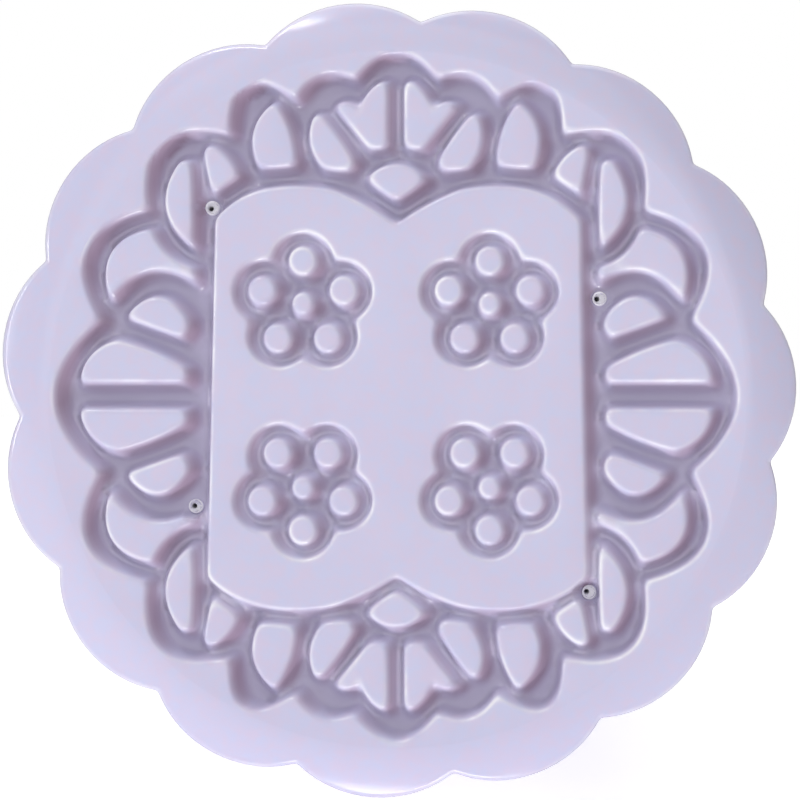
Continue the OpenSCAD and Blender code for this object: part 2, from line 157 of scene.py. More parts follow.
def lobe_angles(count, turn, steps):
    """Angles round the axis that crowd together between lobes: the sine of an even series."""
    within = np.sin(np.linspace(-1, 1, steps + 1)[:-1] * math.pi / 2) * math.pi / count
    return (turn + np.arange(count)[:, None] * 2 * math.pi / count + within).ravel()


VALLEY_SOFT = math.radians(0.5)
FINGER_VALLEY_SOFT = math.radians(2.5)
SOFT_BACK = 0.5
SOFT_FRONT = 0.42
CORNER_POINTS = 7
MOST_OF_EDGE = 0.48
SCALLOP_ANGLES = lobe_angles(SCALLOPS, SCALLOP_TURN, STEPS_PER_SCALLOP)
FINGER_ANGLES = lobe_angles(FINGERS, FINGER_TURN, STEPS_PER_SCALLOP)
EVEN_ANGLES = np.linspace(0, 2 * math.pi, 129)[:-1]


def scalloped(tip_r):
    """Radii of the scalloped outline with its tips at tip_r."""
    return lobed(SCALLOP_ANGLES, tip_r, SCALLOP_RING_R, SCALLOPS, SCALLOP_TURN, VALLEY_SOFT)


def fingered(tip_r):
    """Radii of the handle's lobed outline with its tips at tip_r."""
    return lobed(FINGER_ANGLES, tip_r, FINGER_RING_R, FINGERS, FINGER_TURN, FINGER_VALLEY_SOFT)


def curve(t, start, corner, end):
    """The parabola from start to end that leaves both towards the corner."""
    return (1 - t) ** 2 * start + 2 * t * (1 - t) * corner + t**2 * end


def softened(corners):
    """A profile through corners of [radius, y, soften, lobing]. A corner with soften above 0 becomes the
    parabola that leaves both its edges that far from the corner. Also gives how far each point lies on a
    softened corner, from 0 at its ends to 1 in the middle."""
    corners = np.array([(*c, *[0.0] * (4 - len(c))) for c in corners], float)
    t = np.linspace(0, 1, CORNER_POINTS)[:, None]
    points, edge = [], []
    for back, here, ahead in zip(np.roll(corners, 1, 0), corners, np.roll(corners, -1, 0)):
        if here[2] == 0:
            points.append(here[None])
            edge.append(np.zeros(1))
            continue
        start, end = (
            here + (other - here) * min(here[2] / math.hypot(*(other - here)[:2]), MOST_OF_EDGE)
            for other in (back, ahead)
        )
        points.append(curve(t, start, here, end))
        edge.append(4 * (t * (1 - t))[:, 0])
    return np.vstack(points), np.concatenate(edge)


def polar(radii, angles):
    """Points of the plate's plane at radii and angles round the axis."""
    return np.stack([radii * np.cos(angles), radii * np.sin(angles)], -1)


def upright(flat, y):
    """Points of the plate's plane, put at stations along the axis."""
    return np.stack([flat[..., 0], np.broadcast_to(y, flat.shape[:-1]), AXIS_Z + flat[..., 1]], -1)


def round_the_axis(radii, stations_y, angles):
    """Rows of points at the given radii, one row for each station along Y, at angles round the axis."""
    return upright(polar(radii, angles), np.asarray(stations_y)[:, None])


def quads(rows, count, ring):
    """Faces of a grid that closes round each row, and from its last row to its first where ring is true."""
    i = np.arange(rows if ring else rows - 1)[:, None]
    j = np.arange(count)[None, :]
    here, ahead = i * count, (i + 1) % rows * count
    following = (j + 1) % count
    return np.stack([here + j, here + following, ahead + following, ahead + j], -1).reshape(-1, 4)


def skin(grid, ring):
    """Points and faces of a closed surface over rows of points, with flat ends where it isn't a ring."""
    rows, count = grid.shape[:2]
    faces = quads(rows, count, ring).tolist()
    if not ring:
        faces.append(list(range(count))[::-1])
        faces.append(list(range((rows - 1) * count, rows * count)))
    return grid.reshape(-1, 3), faces


def point_value(mesh, label, values):
    """Stores a value for each point of a mesh, which its material reads by the label."""
    mesh.attributes.new(label, "FLOAT", "POINT").data.foreach_set("value", values.astype(np.float32))


def finished(mesh, distance, crease):
    """Merges a mesh's doubles, drops loose points, turns the faces outwards, and keeps only the edges
    sharper than crease degrees."""
    work = bmesh.new()
    work.from_mesh(mesh)
    bmesh.ops.remove_doubles(work, verts=work.verts, dist=distance)
    bmesh.ops.delete(work, geom=[v for v in work.verts if not v.link_faces], context="VERTS")
    if work.calc_volume(signed=True) < 0:
        bmesh.ops.reverse_faces(work, faces=work.faces)
    work.to_mesh(mesh)
    work.free()
    mesh.shade_smooth()
    mesh.set_sharp_from_angle(angle=math.radians(crease))
    return mesh


def mesh_of(name, points, faces, edge=None, crease=SHARP_ANGLE):
    """A closed mesh in metres, with how far each point lies on a softened edge if that is given."""
    mesh = bpy.data.meshes.new(name)
    mesh.from_pydata((points * MM).tolist(), [], faces)
    if edge is not None:
        point_value(mesh, "edge", edge)
    return finished(mesh, DOUBLES, crease)


def place(name, mesh, material, body, node):
    """Puts a mesh in the scene as the piece that stands for a CAD node."""
    mesh.materials.append(material)
    piece = bpy.data.objects.new(name, mesh)
    bpy.context.scene.collection.objects.link(piece)
    if body:
        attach(piece, body)
    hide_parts(node)
    return piece


def even_shading(piece):
    """Large faces keep their own normals, and the softened edges between them turn."""
    shading = piece.modifiers.new("even shading", "WEIGHTED_NORMAL")
    shading.keep_sharp = True


def turned(name, corners, material, body, node, outline=None, angles=EVEN_ANGLES, closed=True):
    """A profile of corners carried round the axis as a piece. Each station lies between a circle and the
    outline with its tips at the same radius, by its share of lobing."""
    profile, edge = softened(corners)
    radii = [r + (outline(r) - r) * share if share else r + 0 * angles for r, _, _, share in profile]
    points, faces = skin(round_the_axis(np.array(radii), profile[:, 1], angles), closed)
    mesh = mesh_of(name, points, faces, np.repeat(edge, len(angles)))
    even_shading(place(name, mesh, material, body, node))


# Stamped face: outlines as clockwise [x, y, bulge] corners, where bulge is how far an edge bows out

PADS = [
    [(-24.4, 1.1, 0.7), (-21.5, 4.2, 0.2), (-16.3, 2.1, 0.1), (-16.3, 1.1, 0)],
    [(-20.8, 6.1, 1.6), (-16.1, 5.8, 0.2), (-16.6, 4.6, 0)],
    [(-22.1, 7.5, 1.7), (-18.9, 12.8, -0.6), (-15.6, 9.8, 0), (-15.6, 9.0, -1.5)],
    [(-16.7, 18.0, 0.1), (-15.9, 18.0, 0.1), (-15.8, 11.6, 1.5)],
    [(-14.8, 18.8, 0.2), (-14.2, 19.2, 0.3), (-12.2, 17.0, 0), (-14.2, 15.7, 0)],
    [(-9.4, 22.6, 0.4), (-7.8, 17.9, 0.1), (-10.6, 17.7, 1.0)],
    [(-6.3, 21.6, 0.1), (-5.7, 21.5, 0.1), (-3.3, 18.1, 0.1), (-3.6, 17.5, 0.1), (-5.7, 17.7, 0.6)],
    [
        (-4.7, 22.4, 0.6), (-2.8, 21.6, 0.4), (-1.1, 24.2, 0.1),
        (-0.7, 24.0, 0), (-0.7, 19.3, 0.1), (-2.1, 19.2, 0),
    ],
    [(-2.2, 16.8, 1.0), (2.2, 16.8, 0.1), (0, 15.2, 0.1)],
]
PANEL = [
    (-14.5, -14.0, 0), (-13.9, 13.6, 0.3), (-10.5, 15.8, 0.3), (-4.9, 15.8, 0.2), (0, 13.1, 0.2),
    (4.9, 15.8, 0.3), (10.5, 15.8, 0.3), (14.2, 13.5, 0), (14.7, -14.0, 0.3), (10.5, -16.2, 0.3),
    (4.9, -16.2, 0.2), (0, -13.8, 0.2), (-4.9, -16.2, 0.3), (-10.5, -16.2, 0.3),
]
FRAME_CORNERS = [(-22.9, 5.9), (-19.2, 14.4), (-12.9, 20.3), (-7.8, 23.1), (-3.2, 24.6)]
FRAME_BULGES = [3.1, 3.1, 2.8, 1.1]
FRAME_TOP_BULGE = 2.1
FRAME_SIDE_BULGE = 3.5
VENTS = [(-14.8, 15.0), (15.3, 7.95), (-16.1, -8.2), (14.5, -14.9)]
BLOSSOM_AT = (-7.2, 7.1)
PETALS = 5
PETAL_RING_R = 3.1
PETAL_R = 2.5
PETAL_DOT_RING_R = 3.3
PETAL_DOT_R = 1.05
BLOSSOM_DOT_R = 0.8
EDGE_STEPS = 14
FIELD_R = 27
FIELD_STEP = 0.125
OUTLINE_BLUR = 2.4
DEPTH_BLUR = 0.9
BLUR_REACH = 7
CREASE_FADE = 0.7


def frame_outline():
    """Corners of the engraving's outer edge: the upper half, then the same again after half a turn."""
    rise = [(*corner, bulge) for corner, bulge in zip(FRAME_CORNERS, FRAME_BULGES)]
    fall = [(-x, y, bulge) for (x, y), bulge in zip(FRAME_CORNERS[:0:-1], FRAME_BULGES[::-1])]
    upper = rise + [(*FRAME_CORNERS[-1], FRAME_TOP_BULGE)] + fall
    upper.append((-FRAME_CORNERS[0][0], FRAME_CORNERS[0][1], FRAME_SIDE_BULGE))
    return upper + [(-x, -y, bulge) for x, y, bulge in upper]


def bowed(corners):
    """The outline through corners, each edge a parabola: p + (q - p) t + 4 bulge t (1 - t) to the left."""
    corners = np.array(corners, float)
    p, q = corners[:, None, :2], np.roll(corners, -1, 0)[:, None, :2]
    t = np.arange(EDGE_STEPS)[None, :, None] / EDGE_STEPS
    side = np.stack([p[..., 1] - q[..., 1], q[..., 0] - p[..., 0]], -1)
    side /= np.linalg.norm(q - p, axis=-1)[..., None]
    return (p + (q - p) * t + side * 4 * corners[:, None, 2:] * t * (1 - t)).reshape(-1, 2)


def inside(x, y, outline):
    """Distance from each point to an outline, positive inside it: the least distance to its edges, signed
    by how many of them a ray to the right would cross."""
    nearest = np.full(x.shape, np.inf)
    within = np.zeros(x.shape, bool)
    for p, q in zip(outline, np.roll(outline, -1, 0)):
        d = q - p
        t = np.clip(((x - p[0]) * d[0] + (y - p[1]) * d[1]) / (d @ d), 0, 1)
        nearest = np.minimum(nearest, (x - p[0] - t * d[0]) ** 2 + (y - p[1] - t * d[1]) ** 2)
        if d[1]:
            within ^= ((p[1] > y) != (q[1] > y)) & (x < p[0] + (y - p[1]) * d[0] / d[1])
    return np.where(within, 1, -1) * np.sqrt(nearest)


def near(x, y, outline, margin=2.5):
    """As inside(), but worked out only within margin of the outline's box, and far outside elsewhere."""
    found = np.full(x.shape, -margin)
    low, high = outline.min(0) - margin, outline.max(0) + margin
    columns = slice(*np.searchsorted(x[0], [low[0], high[0]]))
    rows = slice(*np.searchsorted(y[:, 0], [low[1], high[1]]))
    found[rows, columns] = inside(x[rows, columns], y[rows, columns], outline)
    return found


def discs(x, y, circles):
    """Distance to the edge of a set of circles, each [x, y, radius], positive inside any of them."""
    return np.max([r - np.hypot(x - cx, y - cy) for cx, cy, r in circles], axis=0)


def blossom(x, y):
    """Sunk area of the upper left blossom: a ring of petals round a disc, less a dot in each and in the
    middle."""
    turns = math.pi / 2 + np.arange(PETALS) * 2 * math.pi / PETALS
    petals = [(*BLOSSOM_AT + polar(PETAL_RING_R, a), PETAL_R) for a in turns]
    dots = [(*BLOSSOM_AT + polar(PETAL_DOT_RING_R, a), PETAL_DOT_R) for a in turns]
    sunk = discs(x, y, [(*BLOSSOM_AT, PETAL_RING_R), *petals])
    return np.minimum(sunk, -discs(x, y, [(*BLOSSOM_AT, BLOSSOM_DOT_R), *dots]))


def mirrored(field):
    """A field joined with its mirror images across both axes of the pattern."""
    field = np.maximum(field, field[:, ::-1])
    return np.maximum(field, field[::-1])


def smooth_step(t):
    """From 0 to 1 with level ends, as t goes from 0 to 1."""
    t = np.clip(t, 0, 1)
    return t**2 * (3 - 2 * t)


def blurred(field, sigma):
    """A field averaged with a bell curve sigma cells wide."""
    for axis in (0, 1):
        reach = np.arange(-BLUR_REACH, BLUR_REACH + 1)
        weights = np.exp(-(reach**2) / (2 * sigma**2))
        field = sum(w * np.roll(field, k, axis) for k, w in zip(reach, weights / weights.sum()))
    return field


def groove_depth(distance):
    """Section of a groove, from the distance inside its edge: a rounded top edge, a straight wall and a
    hollow floor, each the arc or line that carries on from the last."""
    slope = math.radians(66)
    top_r, floor_r, start = 0.32, 0.62, -0.2
    top_w, floor_w = top_r * math.sin(slope), floor_r * math.sin(slope)
    top_end = start + top_w
    top_fall = top_r * (1 - math.cos(slope))
    wall_end = top_end + (GROOVE_D - top_fall - floor_r * (1 - math.cos(slope))) / math.tan(slope)
    into_top = np.clip(distance - start, 0, top_w)
    to_floor = np.clip(wall_end + floor_w - distance, 0, floor_w)
    return np.select(
        [distance < top_end, distance < wall_end],
        [top_r - np.sqrt(top_r**2 - into_top**2), top_fall + (distance - top_end) * math.tan(slope)],
        GROOVE_D - floor_r + np.sqrt(floor_r**2 - to_floor**2),
    )


def engraving():
    """The pattern as fields over a square grid: the distance inside the grooves' edge, and the grooves'
    depth, which runs out in a smooth step towards the crease."""
    along = np.arange(-FIELD_R, FIELD_R + FIELD_STEP / 2, FIELD_STEP)
    x, y = np.meshgrid(along, along)
    pads = np.max([near(x, y, bowed(corners)) for corners in PADS], axis=0)
    ring = np.minimum(inside(x, y, bowed(frame_outline())), -near(x, y, bowed(PANEL)))
    edge = np.maximum(np.minimum(ring, -mirrored(pads)), mirrored(blossom(x, y)))
    edge = blurred(edge, OUTLINE_BLUR)
    r = np.hypot(x + PATTERN_SHIFT[0], y + PATTERN_SHIFT[1])
    return edge, blurred(groove_depth(edge), DEPTH_BLUR) * smooth_step((CREASE_R - r) / CREASE_FADE)


def sample(field, x, y):
    """Values of a field at points, straight between its grid points."""
    places = [(p - shift + FIELD_R) / FIELD_STEP for p, shift in zip((x, y), PATTERN_SHIFT)]
    u, v = np.clip(places, 0, len(field) - 1.001)
    i, j = u.astype(int), v.astype(int)
    u, v = u - i, v - j
    low = field[j, i] * (1 - u) + field[j, i + 1] * u
    high = field[j + 1, i] * (1 - u) + field[j + 1, i + 1] * u
    return low * (1 - v) + high * v


def contour(field, level, step):
    """The lines along which a field equals level, as points and pairs of them: a point on each grid edge
    that the level crosses, and a line between the two points of each cell, or two where it has four."""
    over = field - level
    crossed_x = (over[:, 1:] > 0) != (over[:, :-1] > 0)
    crossed_y = (over[1:] > 0) != (over[:-1] > 0)
    jx, ix = np.nonzero(crossed_x)
    jy, iy = np.nonzero(crossed_y)
    along_x = over[jx, ix] / (over[jx, ix] - over[jx, ix + 1])
    along_y = over[jy, iy] / (over[jy, iy] - over[jy + 1, iy])
    points = np.vstack([np.stack([ix + along_x, jx], 1), np.stack([iy, jy + along_y], 1)])
    on_x = np.full(crossed_x.shape, -1)
    on_y = np.full(crossed_y.shape, -1)
    on_x[jx, ix] = np.arange(len(jx))
    on_y[jy, iy] = len(jx) + np.arange(len(jy))
    sides = np.stack([on_x[:-1], on_x[1:], on_y[:, :-1], on_y[:, 1:]], -1).reshape(-1, 4)
    hits = (sides >= 0).sum(1)
    pairs = np.sort(sides[hits == 2], 1)[:, 2:]
    saddles = sides[hits == 4]
    pairs = np.vstack([pairs, saddles[:, [0, 2]], saddles[:, [1, 3]]])
    return points * step - FIELD_R + PATTERN_SHIFT, pairs


def circle(cx, cy, r, count):
    """Points of a circle."""
    return (cx, cy) + polar(r, np.arange(count) * 2 * math.pi / count)


def closed_row(points):
    """A row of points with the lines that join it into a ring."""
    i = np.arange(len(points))
    return points, np.stack([i, (i + 1) % len(points)], 1)


def joined(rows):
    """Rows of points with their lines, as one set of points and lines."""
    firsts = np.cumsum([0] + [len(points) for points, _ in rows[:-1]])
    pairs = [lines + first for (_, lines), first in zip(rows, firsts)]
    return np.vstack([points for points, _ in rows]), np.vstack(pairs)


VENT_STEPS = 24
VENT_RINGS = np.append(np.linspace(VENT_R, VENT_MOUTH_R, 7), VENT_MOUTH_R + 0.18)
LEVELS = [-0.34, -0.24, -0.17, -0.1, -0.02, 0.07, 0.2, 0.36, 0.52, 0.68, 0.84, 1.0]
CONTOUR_GAP = 0.15
CREASE_GAP = 0.04
AT_CREASE = 0.01
NEAR_CREASE = 0.05
ON_CIRCLE = 0.001


def triangles(points, pairs):
    """Delaunay triangles over flat points that keep the given lines as edges."""
    flat, _, faces, *_ = delaunay_2d_cdt([Vector(p) for p in points.tolist()], pairs.tolist(), [], 0, 1e-5)
    return np.array([tuple(p) for p in flat]), np.array(faces)


def clear_of(points, faces, centre, r):
    """Faces with a corner that lies outside the circle of radius r round a point."""
    away = np.linalg.norm(points[faces] - centre, axis=-1)
    return faces[(away > r + ON_CIRCLE).any(1)]


def vent_gap(x, y):
    """Distance to the middle of the nearest vent."""
    return np.min([np.hypot(x - v[0], y - v[1]) for v in VENTS], axis=0)


def contour_rows(edge):
    """One contour of the grooves for each level, left out where a vent's rings come."""
    rows = []
    for level in LEVELS:
        points, pairs = contour(edge[::2, ::2], level, 2 * FIELD_STEP)
        kept = vent_gap(*points.T) > VENT_RINGS[-1] + CONTOUR_GAP
        rows.append((points, pairs[kept[pairs].all(1)]))
    return rows


def stamped_face(edge):
    """Triangles of the engraved face, between contours of the grooves, rings at each vent and the crease."""
    crease = polar(CREASE_R, SCALLOP_ANGLES)
    rings = [closed_row(circle(*vent, r, VENT_STEPS)) for vent in VENTS for r in VENT_RINGS]
    points, pairs = joined([closed_row(crease)] + contour_rows(edge) + rings)
    wanted = np.isin(np.arange(len(points)), pairs)
    wanted[len(crease):] &= np.hypot(*points[len(crease):].T) < CREASE_R - CREASE_GAP
    number = np.cumsum(wanted) - 1
    return triangles(points[wanted], number[pairs[wanted[pairs].all(1)]])


def rim_way(r):
    """How far out a radius lies on the rim: 0 at the crease and 1 a little beyond the tips."""
    return np.clip((r - CREASE_R) / RIM_SPAN, 0, None)


def rim_fall(r):
    """How far the rim lies behind the face at a radius, with a slope that grows outwards."""
    t = rim_way(r)
    return RIM_DROP * (RIM_EVEN * t + (1 - RIM_EVEN) * t**RIM_POWER)


def rim_slope(r):
    """How fast the rim falls at a radius."""
    growth = (1 - RIM_EVEN) * RIM_POWER * rim_way(r) ** (RIM_POWER - 1)
    return RIM_DROP * (RIM_EVEN + growth) / RIM_SPAN


def face_depth(field, x, y):
    """Depth of the face at points, and the height of the beads in it. Round each vent the depth goes over
    to the vent's own with a smooth step, and a bead, a parabola across, rings its mouth."""
    gap = vent_gap(x, y)
    level = smooth_step((VENT_FLAT_R - gap) / (VENT_FLAT_R - VENT_MOUTH_R))
    across = (gap - (VENT_MOUTH_R + VENT_R) / 2) / (VENT_MOUTH_R - VENT_R) * 2
    bead = VENT_BEAD_H * np.clip(1 - across**2, 0, 1)
    return sample(field, x, y) * (1 - level) + VENT_DEPTH * level - bead, bead


def growth_of(field, x, y):
    """How fast a field grows across and up, at points."""
    up, across = np.gradient(field, FIELD_STEP)
    return sample(across, x, y), sample(up, x, y)


def leaning(x, depth, y):
    """Points of the face with the grooves leaning: each point moves by LEAN times its depth."""
    return upright(np.stack([x + LEAN[0] * depth, y + LEAN[1] * depth], -1), FACE_Y + depth)


# A part of the plate, whose zone tells how it is shaded
Patch = namedtuple("Patch", "points faces edge zone")
FACE_ZONE, RIM_ZONE, PLAIN_ZONE = range(3)
SOFT_ROWS = 6
RIM_ROWS = 12

# Painted light on the face: a pale painted highlight line along the grooves' edge, and painted shade on
# their walls, by how steep they are and which way they face
LINE_AT = -0.05
LINE_WIDTH = 0.16
LINE_EVEN, LINE_BY_SLOPE, LINE_RANGE = 1.4, -1.6, (0.3, 2.5)
WALL_SHADE_ACROSS, WALL_SHADE_UP, WALL_SHADE_RANGE = 0.42, -0.2, (0, 0.85)
BEAD_SHADE_LIFT = 6


def plate_face(edge_field, depth_field):
    """The engraved face, with how sunk each of its points is, which the material turns into painted shade in
    the grooves, and the painted shade of its walls.
    """
    flat, faces = stamped_face(edge_field)
    for vent in VENTS:
        faces = clear_of(flat, faces, vent, VENT_R)
    r = np.hypot(*flat.T)
    depth, bead = face_depth(depth_field, *flat.T)
    depth[r > CREASE_R - AT_CREASE] = 0
    fall_x, fall_z = growth_of(depth_field, *flat.T)
    # Painted highlight: a pale line along the grooves' edge, strongest where the edge faces left.
    line = np.exp(-(((sample(edge_field, *flat.T) - LINE_AT) / LINE_WIDTH) ** 2))
    line *= (r < CREASE_R - NEAR_CREASE) * np.clip(LINE_EVEN + LINE_BY_SLOPE * fall_x, *LINE_RANGE)
    # The vents' beads are painted white, as a highlight.
    edge = np.maximum(line, bead / VENT_BEAD_H * VENT_PAINTED_WHITE)
    # Painted shade on walls that face right and down, kept off the vents' beads.
    painted_wall_shade = np.clip(WALL_SHADE_ACROSS * fall_x + WALL_SHADE_UP * fall_z, *WALL_SHADE_RANGE) * (bead == 0)
    face = Patch(leaning(flat[:, 0], depth, flat[:, 1]), faces.tolist(), edge, FACE_ZONE)
    # The vents' beads are lifted out of the painted groove shade.
    return face, depth / GROOVE_D - bead * BEAD_SHADE_LIFT, painted_wall_shade


def plate_band():
    """The plate's side and rim: scalloped rows at a softened back corner, then at a softened front corner,
    then rows that close in on the crease circle."""
    t = np.linspace(0, 1, SOFT_ROWS)[:, None]
    tip = scalloped(PLATE_R)
    back = tip - (1 - t) ** 2 * (tip - scalloped(PLATE_R - SOFT_BACK))
    back_y = BACK_Y - SOFT_BACK * t**2 + 0 * tip
    inner = scalloped(PLATE_R - SOFT_FRONT)
    front = curve(t, tip, tip, inner)
    corner_y = FACE_Y + rim_fall(tip)
    front_y = curve(t, corner_y + SOFT_FRONT, corner_y, FACE_Y + rim_fall(inner))
    rim = inner + (CREASE_R - inner) * np.linspace(0, 1, RIM_ROWS + 1)[1:, None]
    radii = np.vstack([back, front, rim])
    y = np.vstack([back_y, front_y, FACE_Y + rim_fall(rim)])
    soft = 4 * (t * (1 - t))[:, 0]
    edge = np.repeat(np.concatenate([soft, soft, np.zeros(RIM_ROWS)]), len(tip))
    faces = quads(*radii.shape, False).tolist()
    side = (2 * SOFT_ROWS - 1) * len(tip)
    points = upright(polar(radii, SCALLOP_ANGLES), y).reshape(-1, 3)
    return [Patch(points, faces[:side], edge, PLAIN_ZONE), Patch(points, faces[side:], edge, RIM_ZONE)]


def vent_tube(vent, depth_field):
    """A vent's wall, narrowing from its mouth to a bore that runs to the back, and the bore's outline."""
    ring = circle(*vent, VENT_R, VENT_STEPS)
    mouth = leaning(ring[:, 0], face_depth(depth_field, *ring.T)[0], ring[:, 1])
    x, y, z = mouth.mean(0)
    bore = circle(x - VENT_ASIDE, z - AXIS_Z, VENT_NARROW_R, VENT_STEPS)
    narrow = upright(bore, y + VENT_FUNNEL_D)
    rows = np.stack([mouth, (mouth + narrow) / 2, narrow, upright(bore, BACK_Y)])
    faces = quads(len(rows), VENT_STEPS, False).tolist()
    # The vent's wall is painted white, as a highlight.
    return Patch(rows.reshape(-1, 3), faces, np.full(rows.size // 3, VENT_PAINTED_WHITE), PLAIN_ZONE), bore


def plate_back(bores):
    """The flat back, inside its scalloped edge and round the socket's mouth and the bores."""
    mouth_r = SOCKET_R + SOCKET_SOFT
    outline = polar(scalloped(PLATE_R - SOFT_BACK), SCALLOP_ANGLES)
    rows = [outline, circle(0, 0, mouth_r, len(EVEN_ANGLES))] + bores
    flat, faces = triangles(*joined([closed_row(row) for row in rows]))
    faces = clear_of(flat, faces, (0, 0), mouth_r)
    for bore in bores:
        faces = clear_of(flat, faces, bore.mean(0), VENT_NARROW_R)
    middle = flat[faces].mean(1)
    angle = np.arctan2(middle[:, 1], middle[:, 0])
    limit = lobed(angle, PLATE_R - SOFT_BACK, SCALLOP_RING_R, SCALLOPS, SCALLOP_TURN, VALLEY_SOFT)
    faces = faces[np.hypot(*middle.T) < limit, ::-1]
    return Patch(upright(flat, BACK_Y), faces.tolist(), np.zeros(len(flat)), PLAIN_ZONE)


def plate_socket():
    """The round socket behind the plate. The last corner is only there to soften the mouth's edge."""
    floor_y = BACK_Y - SOCKET_D
    profile, edge = softened([
        (0.4, floor_y), (SOCKET_R, floor_y, 0.5), (SOCKET_R, BACK_Y, SOCKET_SOFT), (SOCKET_R + 4, BACK_Y),
    ])
    radii = np.repeat(profile[:-1, :1], len(EVEN_ANGLES), 1)
    points = round_the_axis(radii, profile[:-1, 1], EVEN_ANGLES).reshape(-1, 3)
    faces = quads(*radii.shape, False).tolist()
    faces.append(list(range(len(EVEN_ANGLES)))[::-1])
    return Patch(points, faces, np.repeat(edge[:-1], len(EVEN_ANGLES)), PLAIN_ZONE)


def mesh_of_patches(name, patches):
    """One mesh of all the patches, with each face's zone and each point's edge value."""
    faces, zones, first = [], [], 0
    for patch in patches:
        faces += [[first + k for k in face] for face in patch.faces]
        zones += [patch.zone] * len(patch.faces)
        first += len(patch.points)
    mesh = bpy.data.meshes.new(name)
    mesh.from_pydata((np.vstack([patch.points for patch in patches]) * MM).tolist(), [], faces)
    mesh.attributes.new("zone", "INT", "FACE").data.foreach_set("value", zones)
    point_value(mesh, "edge", np.concatenate([patch.edge for patch in patches]))
    return mesh


def values_of(items, label, width=1, kind=float):
    """A property of each of a mesh's items, in rows where it has a width above 1."""
    values = np.empty(len(items) * width, kind)
    items.foreach_get(label, values)
    return values.reshape(-1, width).squeeze()


def shade_plate(mesh, depth_field):
    """Gives the face the normals of its leaning depth field, (d_x, -(1 + lean . (d_x, d_z)), d_z), where
    d_x and d_z are how fast the depth grows across and up, and the rim those of its own slope."""
    at = values_of(mesh.vertices, "co", 3) / MM
    corner = values_of(mesh.loops, "vertex_index", kind=int)
    sizes = values_of(mesh.polygons, "loop_total", kind=int)
    zones = np.repeat(values_of(mesh.attributes["zone"].data, "value", kind=int), sizes)
    normals = values_of(mesh.corner_normals, "vector", 3)
    x, depth, z = (at[corner] - (0, FACE_Y, AXIS_Z)).T
    r = np.hypot(x, z)
    level_x, level_z = x - LEAN[0] * depth, z - LEAN[1] * depth
    fall_x, fall_z = growth_of(depth_field, level_x, level_z)
    steep = np.stack([fall_x, -(1 + LEAN[0] * fall_x + LEAN[1] * fall_z), fall_z], 1)
    steep[r > CREASE_R - NEAR_CREASE] = (0, -1, 0)
    on_face = (zones == FACE_ZONE) & (vent_gap(level_x, level_z) > VENT_FLAT_R + 0.05)
    slope = rim_slope(r) / np.maximum(r, 1)
    rim = np.stack([slope * x, -np.ones(len(x)), slope * z], 1)
    for wanted, found in ((on_face, steep), (zones == RIM_ZONE, rim)):
        normals[wanted] = (found / np.linalg.norm(found, axis=1)[:, None])[wanted]
    mesh.normals_split_custom_set(normals.tolist())


def stamp_plate(material):
    """The engraved plate as one closed mesh: face, side and rim, vents, back and socket."""
    edge_field, depth_field = engraving()
    face, sunk, painted_wall_shade = plate_face(edge_field, depth_field)
    tubes, bores = zip(*[vent_tube(vent, depth_field) for vent in VENTS])
    patches = [face, *plate_band(), *tubes, plate_back(list(bores)), plate_socket()]
    mesh = mesh_of_patches("stamp_plate_engraved", patches)
    # The material paints shade in the grooves and on their walls from these values.
    for label, values in (("sunk", sunk), ("painted_wall_shade", painted_wall_shade)):
        point_value(mesh, label, np.pad(values, (0, len(mesh.vertices) - len(values))))
    finished(mesh, PLATE_DOUBLES, SHARP_ANGLE)
    shade_plate(mesh, depth_field)
    place("stamp_plate_engraved", mesh, material, "plate", "stamp_plate")


# Other pieces


def barrel(material):
    """Scalloped barrel: lip, outer wall, shoulder, end ring round the flange's hole, and the bore."""
    flange_h, flange_hole_r, shoulder = 3, 20, 3
    flange_y = CAP_Y - flange_h
    corners = [
        (LIP_R, MOUTH_Y, 0.35, 1), (BORE_R, MOUTH_Y, 0.35, 1), (BORE_R, flange_y, 0.8, 1),
        (flange_hole_r, flange_y, 0.4, 0), (flange_hole_r, CAP_Y, 0.4, 0),
        (SKIN_R - shoulder, CAP_Y, 0.8, 1), (SKIN_R, CAP_Y - shoulder, 1.6, 1),
        (SKIN_R, MOUTH_Y + LIP_LEN, 0.5, 1),
    ]
    turned("barrel_shell", corners, material, "barrel", "barrel", scalloped,
           SCALLOP_ANGLES)


def barrel_cap(material):
    """Cap plate with its spigot, guide neck and collar, and a shallow ring in its face."""
    hole_r, neck_r, spigot_r = ROD_R + 0.6, 14.5, 19.9
    spigot_y, ring_y = CAP_Y - 3, CAP_TOP_Y - 0.25
    corners = [
        (hole_r, NECK_Y, 0.3), (neck_r, NECK_Y, 0.5), (neck_r, spigot_y, 0.3),
        (spigot_r, spigot_y, 0.3), (spigot_r, CAP_Y), (CAP_R, CAP_Y, 0.3), (CAP_R, CAP_TOP_Y, 1.2),
        (CAP_R - 2.6, CAP_TOP_Y, 0.1), (CAP_R - 2.9, ring_y, 0.1), (COLLAR_R + 5.2, ring_y, 0.1),
        (COLLAR_R + 4.9, CAP_TOP_Y, 0.1), (COLLAR_R, CAP_TOP_Y, 0.3), (COLLAR_R, COLLAR_Y, 0.4),
        (hole_r, COLLAR_Y, 0.2),
    ]
    turned("barrel_cap_turned", corners, material, "barrel", "barrel_cap")


